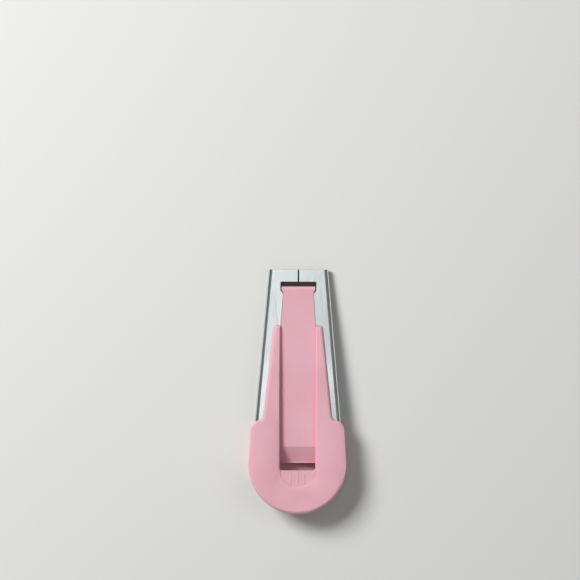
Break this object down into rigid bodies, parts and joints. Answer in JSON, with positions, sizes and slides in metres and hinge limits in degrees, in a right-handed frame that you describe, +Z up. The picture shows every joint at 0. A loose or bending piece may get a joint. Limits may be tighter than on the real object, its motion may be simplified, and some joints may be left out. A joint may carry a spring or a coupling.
{
  "type": "bias tape maker",
  "caption": "Wedge-shaped bias tape maker: a folded metal tip held in a moulded body with a round, open-mouthed end, a slot and open channel for fusible web, and a tongue.",
  "frame": {"origin": "centre of the footprint, on the underside that the tool lies on", "axes": "+Y towards the tip, where the folded tape comes out; +Z up; +X to the right with the tip ahead"},
  "size_m": [0.0332, 0.0826, 0.0107],
  "materials": {
    "nickel_steel": "bright nickel plate on pressed steel sheet",
    "pink_plastic": "moulded, opaque, soft gloss"
  },
  "bodies": {
    "root": {"folder_shell": "nickel_steel", "guide_body": "pink_plastic", "base_tray": "pink_plastic"}
  },
  "joints": []
}
